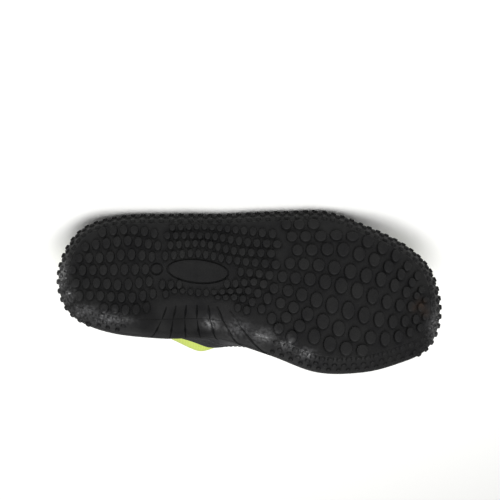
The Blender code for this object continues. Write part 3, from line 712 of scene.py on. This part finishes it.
lugs = {
    "pitch": 10.8 * mm,
    "alongShare": 0.86,
    "acrossShare": 0.90,
    "draft": 0.90,
    "overhang": 1.2 * mm,
    "least": 1.3 * mm,
    "leastFit": 0.7,  # a lug that has to shrink below this share is left out
    "longest": 1.42,  # most length across to length along
    "sides": 14,
    "sink": 0.5 * mm,
    "pitches": [  # along, share of the pitch
        (0.00, 0.62),
        (0.20, 0.66),
        (0.30, 0.52),
        (0.44, 0.54),
        (0.52, 0.66),
        (0.60, 0.90),
        (0.72, 1.04),
        (0.82, 0.92),
        (0.90, 0.68),
        (1.00, 0.42),
    ],
    "zones": [  # start, end, then each row's places: along and share from the outer to the inner edge
        (
            0.034,
            0.263,
            [
                [(0.11, 0.069), (0.16, 0.074), (0.22, 0.102), (0.27, 0.138)],
                [(0.06, 0.200), (0.12, 0.212), (0.18, 0.196), (0.23, 0.229), (0.27, 0.252)],
                [(0.03, 0.330), (0.10, 0.381), (0.18, 0.343), (0.27, 0.368)],
                [(0.03, 0.560), (0.11, 0.527), (0.18, 0.503), (0.27, 0.490)],
                [(0.04, 0.790), (0.10, 0.690), (0.17, 0.669), (0.27, 0.605)],
                [(0.06, 0.930), (0.10, 0.845), (0.17, 0.801), (0.21, 0.785), (0.26, 0.735)],
                [(0.10, 0.970), (0.15, 0.932), (0.21, 0.911), (0.25, 0.873)],
            ],
        ),
        (
            0.276,
            0.570,
            [
                [(0.27, -0.018), (0.34, -0.006), (0.48, 0.012), (0.57, 0.022)],
                [(0.27, 0.062), (0.37, 0.051), (0.45, 0.084), (0.57, 0.128)],
                [(0.27, 0.143), (0.40, 0.152), (0.47, 0.200), (0.57, 0.212)],
                [(0.27, 0.243), (0.37, 0.225), (0.45, 0.291), (0.57, 0.296)],
                [(0.27, 0.350), (0.35, 0.324), (0.44, 0.380), (0.57, 0.389)],
                [(0.28, 0.490), (0.46, 0.489), (0.57, 0.486)],
                [(0.27, 0.640), (0.30, 0.640), (0.46, 0.606), (0.51, 0.566), (0.57, 0.594)],
                [(0.26, 0.775), (0.30, 0.711), (0.38, 0.725), (0.43, 0.700), (0.51, 0.655), (0.57, 0.705)],
                [(0.42, 0.760), (0.47, 0.735), (0.51, 0.751), (0.57, 0.850)],
                [(0.44, 0.830), (0.49, 0.830), (0.52, 0.850), (0.57, 0.940)],
            ],
        ),
        (
            0.578,
            0.965,
            [
                [(0.58, 0.045), (0.66, 0.040), (0.74, 0.006)],
                [(0.58, 0.143), (0.67, 0.129), (0.75, 0.068), (0.80, 0.060), (0.87, 0.092), (0.93, 0.170)],
                [(0.58, 0.255), (0.65, 0.241), (0.74, 0.190), (0.81, 0.196), (0.89, 0.262), (0.94, 0.320)],
                [(0.58, 0.365), (0.67, 0.349), (0.80, 0.347), (0.84, 0.355), (0.90, 0.425), (0.95, 0.425)],
                [(0.58, 0.482), (0.66, 0.463), (0.80, 0.500), (0.88, 0.575), (0.95, 0.570)],
                [(0.58, 0.586), (0.67, 0.608), (0.80, 0.679), (0.88, 0.745), (0.95, 0.725)],
                [(0.58, 0.700), (0.65, 0.728), (0.80, 0.850), (0.87, 0.895), (0.94, 0.860)],
                [(0.58, 0.797), (0.67, 0.876), (0.74, 0.930), (0.82, 0.962)],
                [(0.58, 0.905), (0.62, 0.940)],
            ],
        ),
    ],
}
nubs = {
    "height": 1.3 * mm,
    "width": 4.6 * mm,
    "pitch": 6.8 * mm,
    "sides": 9,
    "sink": 0.6 * mm,
    "draft": 0.7,
    "rows": [  # inset, height, stagger, size, on the inner side
        (0.05, 0.60, 0.0, 1.0, False),
        (0.34, 0.345, 0.5, 1.0, False),
        (0.74, 0.125, 0.0, 1.0, False),
        (0.84, 0.085, 0.2, 1.15, True),
        (0.48, 0.25, 0.7, 0.95, True),
        (0.20, 0.465, 0.1, 0.85, True),
    ],
    "toeAndHeel": (0.105, 0.93),  # beyond these the outer rows go round the ends
    "innerWaist": (0.19, 0.56),  # no nubs between these
}
lugPitchAt = smoothLine(lugs["pitches"])


def plateDistance(x, y, length, width, along, across):
    shiftX = (x - along * sole["length"]) / (length / 2)
    shiftY = (y - across * sole["ballWidth"]) / (width / 2)
    return math.hypot(shiftX, shiftY)


def lugIsClear(x, y, halfAlong, halfAcross):
    if halfAcross < lugs["least"]:
        return False
    for place in (x - halfAlong / 2, x, x + halfAlong / 2):
        sides = panelSides(place / sole["length"])
        if sides is None:
            return False
        top = sides[0] + (sides[1] - sides[0]) * treadShare(place / sole["length"])
        reach = halfAcross - lugs["overhang"]
        if not sides[0] + reach < y < top - reach:
            return False
    grow = 2 * (0.9 * halfAlong + plates["groove"])
    oval = plateDistance(
        x,
        y,
        plates["ovalLength"] + grow,
        plates["ovalWidth"] + 2 * (0.8 * halfAcross + plates["groove"]),
        plates["ovalAlong"],
        plates["ovalAcross"],
    )
    discReach = plates["discWidth"] + grow
    disc = plateDistance(x, y, discReach, discReach, plates["discAlong"], plates["discAcross"])
    return oval > 1 and disc > 1


def lugPlaces():
    places = []
    for start, end, rows in lugs["zones"]:
        lines = [smoothLine(row) for row in rows]
        for number, (row, line) in enumerate(zip(rows, lines)):
            along = start + lugs["pitch"] * lugPitchAt(start) / sole["length"] / 2 * (number % 2)
            while along < end:
                pitch = lugs["pitch"] * lugPitchAt(along)
                step = pitch / sole["length"]
                sides = panelSides(along)
                if sides and row[0][0] - 0.005 <= along <= row[-1][0] + 0.005:
                    width = sides[1] - sides[0]
                    gaps = [
                        abs(other(along) - line(along)) * width
                        for k, other in enumerate(lines)
                        if abs(k - number) == 1 and rows[k][0][0] - 0.02 <= along <= rows[k][-1][0] + 0.02
                    ]
                    spacing = sum(gaps) / len(gaps) if gaps else pitch
                    halfAlong = pitch * lugs["alongShare"] / 2
                    halfAcross = min(spacing * lugs["acrossShare"] / 2, halfAlong * lugs["longest"])
                    x, y = along * sole["length"], sides[0] + width * line(along)
                    near = [
                        math.hypot((x - a) / (halfAlong + c), (y - b) / (halfAcross + d))
                        for a, b, c, d in places
                    ]
                    fit = max(2 * min([1.0, *near]) - 1, 0)
                    if fit < lugs["leastFit"]:
                        fit = 0
                    halfAlong, halfAcross = halfAlong * fit, halfAcross * fit
                    if lugIsClear(x, y, halfAlong, halfAcross):
                        places.append((x, y, halfAlong, halfAcross))
                along += step
    return places


def addStud(mesh, base, up, forward, halfAlong, halfAcross, height, sink, draft, sides):
    # an oval stud with a rounded top edge
    made = bmesh.ops.create_cone(
        mesh, cap_ends=True, segments=sides, radius1=1, radius2=draft, depth=1, calc_uvs=False
    )["verts"]
    top = max(vert.co.z for vert in made)
    rim = [e for e in {e for v in made for e in v.link_edges} if all(v.co.z > top - 0.01 for v in e.verts)]
    grown = bmesh.ops.bevel(
        mesh, geom=rim, offset=0.16, segments=2, profile=0.5, affect="EDGES", material=-1
    )["verts"]
    verts = {vert for vert in made if vert.is_valid} | set(grown)
    side = up.cross(forward).normalized()
    axes = Matrix((forward * halfAlong, side * halfAcross, up * (height + sink))).transposed().to_4x4()
    middle = base + up * ((height - sink) / 2)
    bmesh.ops.transform(mesh, matrix=Matrix.Translation(middle) @ axes, verts=list(verts))


def treadFrame(x, y):
    along = x / sole["length"]
    rise = (treadLevel(along + 0.004) - treadLevel(along - 0.004)) / (0.008 * sole["length"])
    forward = Vector((1, 0, rise)).normalized()
    return Vector((x, y, treadLevel(along))), Vector((0, 1, 0)).cross(forward), forward


def treadLugs():
    mesh = bmesh.new()
    form = (sole["lugHeight"], lugs["sink"], lugs["draft"], lugs["sides"])
    for x, y, halfAlong, halfAcross in lugPlaces():
        base, up, forward = treadFrame(x, y)
        addStud(mesh, base, up, forward, halfAlong, halfAcross, *form)
    piece = newPiece("tread_lugs", mesh, [soleRubber], 50)
    markWearAndHighlight(piece)


def nubAngles(stagger, inner):
    angles = []
    travelled = nubs["pitch"] * (1 - stagger)
    steps = 1440
    for k in range(steps):
        angle = 2 * math.pi * k / steps
        travelled += (outlineAt(2 * math.pi * (k + 1) / steps) - outlineAt(angle)).length
        if travelled < nubs["pitch"]:
            continue
        travelled -= nubs["pitch"]
        along = (1 - math.cos(angle)) / 2
        heel, toe = nubs["toeAndHeel"]
        stop, start = nubs["innerWaist"]
        onSide = math.sin(angle) > 0 and heel < along < toe
        if onSide == inner and not (inner and stop < along < start):
            angles.append(angle)
    return angles


def sideNubs():
    mesh = bmesh.new()
    band = sole["edgeBand"]
    form = (nubs["height"], nubs["sink"], nubs["draft"], nubs["sides"])
    for inset, height, stagger, size, inner in nubs["rows"]:
        for angle in nubAngles(stagger, inner):
            base = sidePoint(angle, inset * band, height)
            climb = sidePoint(angle, max(inset - 0.1, 0) * band, height + 0.06) - base
            into = inwardAt(angle)
            forward = Vector((-into.y, into.x, 0))
            up = forward.cross(climb).normalized()
            if up.dot(Vector((into.x, into.y, 0))) > 0:
                up.negate()
            half = nubs["width"] / 2 * size
            addStud(mesh, base, up, forward, half, half, *form)
    piece = newPiece("side_nubs", mesh, [soleRubber], 50)
    markWearAndHighlight(piece)


treadLugs()
sideNubs()
print("lugs and nubs made")

# Upper: a curve for each column from the cup's floor over the lip to the collar

upperSetup = {
    "wall": 2.2 * mm,
    "collarHeight": 77 * mm,
    "collarLength": 112 * mm,
    "collarWidth": 54 * mm,
    "collarSetback": 13 * mm,
    "collarLead": 0.66,
    "gap": 0.3 * mm,
    "lift": 0.4 * mm,
    "columns": 264,
    "rows": 60,
    "clothStep": (2.4 * mm, 1.25 * mm),  # width and height of a cell of the grid on the knit
    "ribs": [  # place, collar height, lean, rise, reach
        (0.00, 1.00, 0.30, 0.42, 0.34),
        (0.15, 0.94, 0.26, 0.42, 0.34),
        (0.34, 0.82, 0.26, 0.48, 0.34),
        (0.43, 0.84, 0.30, 0.55, 0.34),
        (0.53, 0.90, 0.42, 0.50, 0.33),
        (0.66, 1.00, 0.60, 0.44, 0.32),
        (0.80, 1.07, 0.72, 0.40, 0.30),
        (1.00, 1.09, 0.74, 0.34, 0.30),
    ],
    "belly": [  # place and how far the inner side bulges
        (0.00, 0.10),
        (0.15, 0.10),
        (0.27, 0.04),
        (0.401, 1.28),
        (0.430, 0.92),
        (0.455, 0.58),
        (0.495, 0.22),
        (0.54, 0.08),
        (1.00, 0.05),
    ],
    "outerBelly": 0.05,
    "pressFrom": 9 * mm,
    "pressDepth": 1.9 * mm,
    "creases": [  # degrees round from the heel, height share, half length, half width, depth in mm, slope
        (150, 0.62, 20, 3.4, 1.1, -0.25),
        (146, 0.74, 17, 3.0, 0.9, -0.20),
        (198, 0.64, 21, 3.6, 1.0, 0.22),
        (205, 0.76, 16, 3.0, 0.8, 0.20),
        (176, 0.70, 14, 2.8, 0.8, 0.05),
        (122, 0.58, 15, 3.2, 1.0, -0.55),
        (112, 0.72, 12, 2.8, 0.8, -0.70),
        (96, 0.55, 13, 3.0, 0.7, 0.60),
        (70, 0.66, 14, 3.0, 0.8, 0.45),
        (48, 0.60, 12, 2.8, 0.6, -0.35),
        (24, 0.72, 11, 2.6, 0.6, 0.10),
        (236, 0.60, 14, 3.0, 0.7, 0.55),
        (318, 0.64, 12, 2.8, 0.6, 0.30),
        (345, 0.74, 10, 2.6, 0.5, -0.20),
    ],
}
ribCurves = [smoothLine([(row[0], row[k]) for row in upperSetup["ribs"]]) for k in range(1, 5)]
bellyAt = smoothLine(upperSetup["belly"])


def ribHandles(angle):
    place = (1 - math.cos(angle)) / 2
    collar, lean, rise, reach = [curve(place) for curve in ribCurves]
    start = sidePoint(angle, lipInset() + upperSetup["gap"], 1.0) + Vector((0, 0, upperSetup["lift"]))
    turn = angle + upperSetup["collarLead"] * math.sin(angle)
    end = Vector(
        (
            upperSetup["collarSetback"] + upperSetup["collarLength"] / 2 * (1 - math.cos(turn)),
            upperSetup["collarWidth"] / 2 * math.sin(turn),
            upperSetup["collarHeight"] * collar,
        )
    )
    belly = bellyAt(place) if math.sin(angle) > 0 else upperSetup["outerBelly"]
    into = inwardAt(angle)
    low = start + Vector((-into.x * belly, -into.y * belly, 1)) * (end.z - start.z) * rise
    towards = Vector((end.x - start.x, end.y - start.y, 0)).normalized()
    direction = towards * lean + Vector((0, 0, math.sqrt(1 - lean * lean)))
    return start, low, end - direction * ((end - start).length * reach), end


def ribPoint(handles, t):
    start, low, high, end = handles
    s = 1 - t
    return start * s**3 + low * (3 * s * s * t) + high * (3 * s * t * t) + end * t**3


def pressedUp(point):
    # the cloth gives way where the shoe rests on its outer side, which leaves room for the rand and the tape
    resting = lying @ point
    if resting.z < upperSetup["pressFrom"]:
        resting.z += upperSetup["pressDepth"] * (1 - resting.z / upperSetup["pressFrom"]) ** 2
    return unlying @ resting


def clothFrame():
    # points and outward normals up the outer face: row 0 is the foot in the cup, row 1 at the lip
    count, rows = upperSetup["columns"], upperSetup["rows"]
    columns = []
    for angle in anglesRound(count):
        handles = ribHandles(angle)
        foot = floorPoint(angle, lipInset() + sole["cupTaper"] + upperSetup["gap"], upperSetup["gap"])
        columns.append([foot, *[pressedUp(ribPoint(handles, k / rows)) for k in range(rows + 1)]])
    points = [list(row) for row in zip(*columns)]
    normals = []
    for r, row in enumerate(points):
        below, above = points[max(r - 1, 0)], points[min(r + 1, len(points) - 1)]
        ring = []
        for k in range(count):
            normal = (above[k] - below[k]).cross(row[(k + 1) % count] - row[k - 1])
            if r <= 1:
                normal.z = 0
            ring.append(normal.normalized())
        normals.append(ring)
    return points, normals


clothPoints, clothNormals = clothFrame()


def creaseDepth(column, row):
    # soft troughs between low ridges, by their places on the upper
    rows = upperSetup["rows"]
    angle = 360 * column / upperSetup["columns"]
    height = (row - 1) / rows
    depth = 0.0
    for place, level, halfLength, halfWidth, trough, slope in upperSetup["creases"]:
        u = ((angle - place + 180) % 360 - 180) * 1.55
        v = (height - level) * 62 - slope * u
        if abs(u) < 2.5 * halfLength and abs(v) < 3 * halfWidth:
            across = (v / halfWidth) ** 2
            depth += trough * math.exp(-((u / halfLength) ** 2)) * (1 - 1.3 * across) * math.exp(-across)
    return depth * mm


def upperPiece():
    mesh = bmesh.new()
    count = upperSetup["columns"]
    outer = [
        [p - n * creaseDepth(k, r) for k, (p, n) in enumerate(zip(row, normals))]
        for r, (row, normals) in enumerate(zip(clothPoints, clothNormals))
    ]
    inner = [
        [p - n * (upperSetup["wall"] + 0.8 * creaseDepth(k, r)) for k, (p, n) in enumerate(zip(row, normals))]
        for r, (row, normals) in enumerate(zip(clothPoints, clothNormals))
    ]
    rings = [*outer, *reversed(inner), outer[0]]
    across, up = upperSetup["clothStep"]
    wrapGrid(mesh, rings, lambda k, r: (k * across, r * up), lambda r: 0 if 2 < r < len(outer) else 1)
    bmesh.ops.remove_doubles(mesh, verts=mesh.verts, dist=0.001 * mm)
    piece = newPiece("upper_cloth", mesh, [limeJersey, darkLining], 50)
    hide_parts("upper")


upperPiece()
print("upper made")

# Rand: the dark film over the upper's foot, higher as a toe cap and a heel counter

rand = {
    "thickness": 0.9 * mm,
    "bands": 16,
    "clothStep": (2.4 * mm, 1.3 * mm),
    "edge": [  # place, height share on the inner and outer side
        (0.00, 0.50, 0.50),
        (0.18, 0.42, 0.42),
        (0.29, 0.06, 0.10),
        (0.35, 0.078, 0.12),
        (0.39, 0.118, 0.13),
        (0.43, 0.18, 0.16),
        (0.57, 0.36, 0.30),
        (0.78, 0.26, 0.26),
        (1.00, 0.30, 0.30),
    ],
    "stitchIn": 2.4 * mm,
    "stitchPitch": 3.4 * mm,
    "stitchLength": 2.5 * mm,
    "threadWidth": 0.7 * mm,
}
randInner = smoothLine([(row[0], row[1]) for row in rand["edge"]])
randOuter = smoothLine([(row[0], row[2]) for row in rand["edge"]])


def randTop(angle):
    place = (1 - math.cos(angle)) / 2
    return (randInner if math.sin(angle) > 0 else randOuter)(place)


def clothPoint(column, height):
    # point and normal on the outer face at a height share, between its rows
    row = 1 + height * upperSetup["rows"]
    low = min(int(row), len(clothPoints) - 2)
    part = row - low
    point = clothPoints[low][column].lerp(clothPoints[low + 1][column], part)
    return point, clothNormals[low][column].lerp(clothNormals[low + 1][column], part).normalized()


def randPiece():
    mesh = bmesh.new()
    outer, inner = [], []
    gap, full = upperSetup["gap"], upperSetup["gap"] + rand["thickness"]
    for share in [k / rand["bands"] for k in range(rand["bands"] + 1)]:
        edge = 0.35 * rand["thickness"] if share in (0.0, 1.0) else 0.0
        ring = [clothPoint(k, share * randTop(a)) for k, a in enumerate(anglesRound(upperSetup["columns"]))]
        outer.append([p + n * (full - edge) for p, n in ring])
        inner.append([p + n * gap for p, n in ring])
    rings = [*outer, *reversed(inner), outer[0]]
    across, up = rand["clothStep"]
    wrapGrid(mesh, rings, lambda k, r: (k * across, r * up))
    bmesh.ops.remove_doubles(mesh, verts=mesh.verts, dist=0.001 * mm)
    piece = newPiece("rand_band", mesh, [randFilm], 50)
    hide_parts("side_overlay")


def stitchRow(mesh, line, pitch, length, width):
    # short threads along a line of (point, normal), each a small rounded bead
    travelled = 0.0
    for k in range(len(line)):
        point, normal = line[k]
        following = line[(k + 1) % len(line)][0]
        step = following - point
        travelled += step.length
        if travelled < pitch:
            continue
        travelled -= pitch
        forward = step.normalized()
        side = normal.cross(forward).normalized()
        turned = Matrix((forward * length, side * width, side.cross(forward) * width)).transposed().to_4x4()
        bmesh.ops.create_uvsphere(
            mesh, u_segments=6, v_segments=4, radius=0.5, matrix=Matrix.Translation(point) @ turned
        )


def randStitches():
    mesh = bmesh.new()
    full = upperSetup["gap"] + rand["thickness"]
    for inset in (1.0, 1.9):
        line = []
        for k, angle in enumerate(anglesRound(upperSetup["columns"])):
            reach = (clothPoints[-1][k] - clothPoints[1][k]).length * 1.15
            height = randTop(angle) - inset * rand["stitchIn"] / reach
            point, normal = clothPoint(k, max(height, 0.012))
            line.append((point + normal * (full + 0.05 * mm), normal))
        stitchRow(mesh, finerLine(line), rand["stitchPitch"], rand["stitchLength"], rand["threadWidth"])
    piece = newPiece("rand_stitches", mesh, [seamThread], 60)


def finerLine(line):
    # nine points between each two
    fine = []
    for (point, normal), (following, turned) in zip(line, line[1:] + line[:1]):
        fine += [(point.lerp(following, k / 9), normal.lerp(turned, k / 9).normalized()) for k in range(9)]
    return fine


randPiece()
randStitches()
print("rand made")

# Collar binding: elastic tape folded over the collar's edge, stitched through

binding = {
    "height": 7 * mm,
    "thickness": 1.0 * mm,
    "steps": 6,
    "clothStep": 1.1 * mm,
    "stitchPitch": 3.0 * mm,
    "stitchLength": 2.2 * mm,
    "threadWidth": 0.6 * mm,
    "stitchAt": 0.28,
}


def bindingPiece():
    mesh = bmesh.new()
    wall, gap = upperSetup["wall"], upperSetup["gap"]
    tape = gap + binding["thickness"]
    top = (clothPoints[-1], clothNormals[-1])
    angles = anglesRound(upperSetup["columns"])
    starts = []
    for angle in angles:
        high, end = ribHandles(angle)[2:]
        starts.append(1 - binding["height"] / (3 * (end - high).length))
    steps = binding["steps"]

    def band(offset, shares, puff=0.0):
        rings = []
        for share in shares:
            ring = [clothPoint(k, start + (1 - start) * share) for k, start in enumerate(starts)]
            bulge = puff * math.sin(math.pi * min(max(share, 0.0), 1.0))
            rings.append([p + n * (offset + math.copysign(bulge, offset)) for p, n in ring])
        return rings

    shares = [k / steps for k in range(steps + 1)]
    outside, inside = band(tape, shares, 0.25 * mm), band(-wall - tape, shares, 0.25 * mm)
    faceOut, faceIn = band(gap, shares), band(-wall - gap, shares)
    edges = []
    for k, start in enumerate(starts):
        low = clothPoint(k, start)[0]
        edges.append((top[0][k] - low).normalized())
    middle = -wall / 2

    def fold(radius, turns):
        rings = []
        for turn in turns:
            out, up = math.cos(math.radians(turn)), math.sin(math.radians(turn))
            rings.append(
                [
                    p + n * (middle + out * radius) + e * (up * min(radius, tape + 0.4 * mm))
                    for p, n, e in zip(*top, edges)
                ]
            )
        return rings

    rings = [
        *outside,
        *fold(wall / 2 + tape, (25, 50, 75, 105, 130, 155)),
        *reversed(inside),
        *faceIn,
        *fold(wall / 2 + gap, (125, 55)),
        *reversed(faceOut),
        outside[0],
    ]
    step = binding["clothStep"]
    wrapGrid(mesh, rings, lambda k, r: (k * step, r * step))
    bmesh.ops.remove_doubles(mesh, verts=mesh.verts, dist=0.001 * mm)
    piece = newPiece("collar_tape", mesh, [collarTape], 60)
    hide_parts("collar_binding")

    mesh = bmesh.new()
    for offset in (tape + 0.15 * mm, -wall - tape - 0.15 * mm):
        line = []
        for k, start in enumerate(starts):
            point, normal = clothPoint(k, start + (1 - start) * binding["stitchAt"])
            line.append((point + normal * offset, normal))
        stitchRow(
            mesh, finerLine(line), binding["stitchPitch"], binding["stitchLength"], binding["threadWidth"]
        )
    piece = newPiece("collar_stitches", mesh, [seamThread], 60)


bindingPiece()
print("collar binding made")

# Insole: loose foam sheet with a cloth top, on the cup's floor

insole = {"thickness": 3 * mm, "edgeRound": 0.9 * mm}


def insolePiece():
    mesh = bmesh.new()
    gap, thick, soft = upperSetup["gap"], insole["thickness"], insole["edgeRound"]
    inset = lipInset() + sole["cupTaper"] + upperSetup["wall"] + 2 * gap
    angles = anglesRound(176)
    side = [(0.4 * soft, 0.0), (0.0, 0.15), (0.0, 0.62), (0.3 * soft, 0.88), (soft, 1.0)]
    rings = [[floorPoint(a, inset + grow, gap + thick * lift) for a in angles] for grow, lift in side]
    wrapGrid(mesh, rings)
    for ring, lift in ((rings[0], 0.0), (rings[-1], thick)):
        border = nearestRing(mesh, ring)
        fillAcross(mesh, border, lambda point: floorLevel(point) + gap + lift)
    layer = mesh.loops.layers.uv.new("cloth")
    for face in mesh.faces:
        for loop in face.loops:
            loop[layer].uv = loop.vert.co.xy
    piece = newPiece("insole_sheet", mesh, [insoleCloth], 40)
    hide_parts("insole")


def floorLevel(point):
    # the cup's floor, which rises over the arch on the inner side
    along = point.x / sole["length"]
    bump = archBump(along)
    width = sole["ballWidth"] * 0.40
    share = min(max((point.y / width + 0.2) / 1.2, 0.0), 1.0)
    return treadLevel(along) + sole["floor"] + sole["archRise"] * bump * share * share


insolePiece()
print("insole made")
